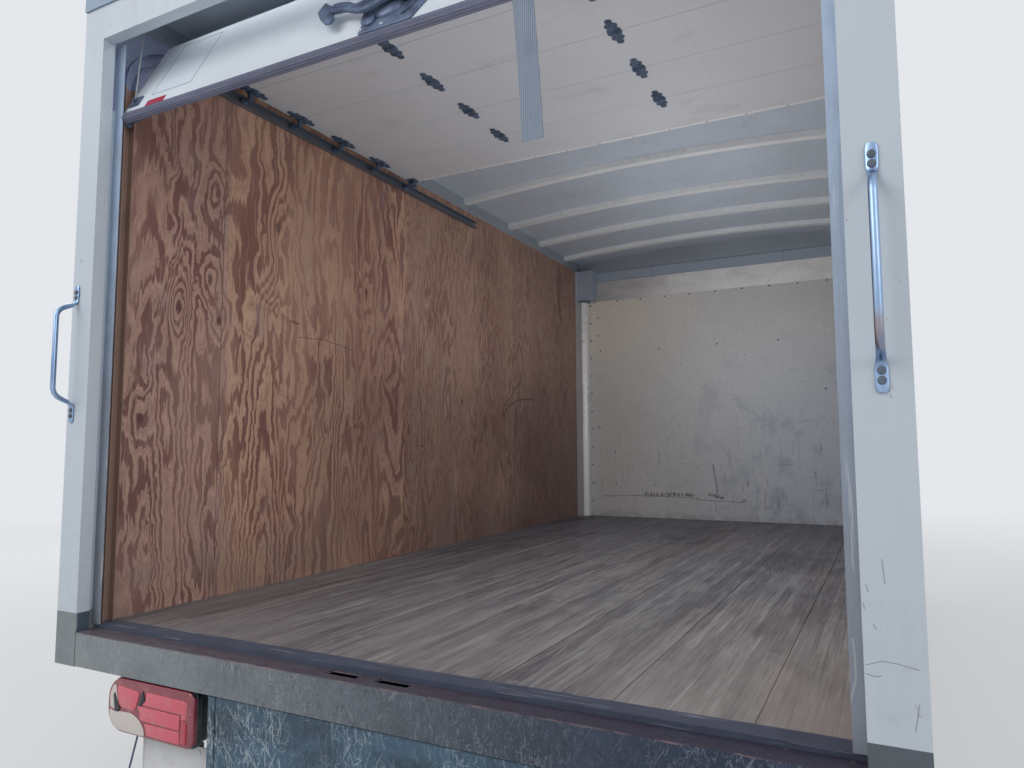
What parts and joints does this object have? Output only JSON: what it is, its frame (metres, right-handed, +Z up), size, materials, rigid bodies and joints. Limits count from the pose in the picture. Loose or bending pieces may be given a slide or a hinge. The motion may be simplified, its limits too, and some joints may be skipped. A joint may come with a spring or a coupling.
{
  "type": "truck cargo box body",
  "caption": "Van-type cargo box for a light truck: framed rear opening with a raised roll-up door, plywood-lined hold, wood floor, crowned roof and chassis sills.",
  "frame": {"origin": "middle of the four chassis bolts, level with the underside of the long sills", "axes": "+X to the right seen from behind, +Y towards the front wall, +Z up"},
  "size_m": [2.438, 4.47, 2.631],
  "materials": {
    "white_paint": "semi-gloss white body paint, scratched",
    "base_paint": "worn dark grey-green paint on steel",
    "worn_steel": "dark worn steel",
    "frame_paint": "black chassis paint",
    "floor_wood": "bare worn laminated hardwood",
    "plywood": "rotary-cut softwood plywood, clear coated",
    "white_panel": "off-white lining panel, scuffed",
    "grey_sheet": "dull grey primed sheet",
    "mill_aluminium": "dull mill finish",
    "galvanized": "dull zinc",
    "bright_sheet": "creased bright sheet",
    "door_paint": "white outside, warm grey inside",
    "black_rubber": "ribbed",
    "dark_hardware": "dark pressed steel",
    "latch_steel": "dark blue-grey pressed steel",
    "steel_rope": "twisted wire",
    "webbing": "ribbed grey-blue webbing",
    "handle_chrome": "polished, slightly dull",
    "lamp_black": "moulded",
    "lamp_red": "clear red, ribbed",
    "step_paint": "dark navy paint, scratched",
    "plate_white": "blank white plate"
  },
  "bodies": {
    "root": {"long_sills": "frame_paint", "cross_members": "frame_paint", "chassis_brackets": "frame_paint", "floor_boards": "floor_wood", "rear_sill": "base_paint", "threshold_bar": "worn_steel", "rear_posts": "white_paint", "post_bases": "base_paint", "rear_header": "white_paint", "rear_cap": "mill_aluminium", "base_rails": "mill_aluminium", "top_rails": "mill_aluminium", "side_walls": "white_paint", "linings": "plywood", "front_wall": "grey_sheet", "front_lining": "white_panel", "front_band": "bright_sheet", "front_corner_posts": "mill_aluminium", "front_inner_posts": "galvanized", "roof_skin": "grey_sheet", "roof_bows": "galvanized", "front_cap": "mill_aluminium", "door_bottom_panel": "door_paint", "door_panel_2": "door_paint", "door_panel_3": "door_paint", "door_panel_4": "door_paint", "door_panel_5": "door_paint", "door_panel_6": "door_paint", "door_seal": "black_rubber", "door_hinges": "dark_hardware", "door_rollers": "dark_hardware", "vertical_tracks": "galvanized", "bent_tracks": "galvanized", "overhead_tracks": "galvanized", "door_stops": "galvanized", "counterbalance": "dark_hardware", "cable_brackets": "dark_hardware", "lift_cables": "steel_rope", "latch_plate": "latch_steel", "latch_lever": "latch_steel", "pull_strap": "webbing", "grab_handles": "handle_chrome", "lamp_housings": "lamp_black", "lamp_lenses": "lamp_red", "step_panel": "step_paint", "step_brackets": "frame_paint", "licence_plate": "plate_white", "plate_bracket": "frame_paint", "marker_lamps": "lamp_red"}
  },
  "joints": []
}
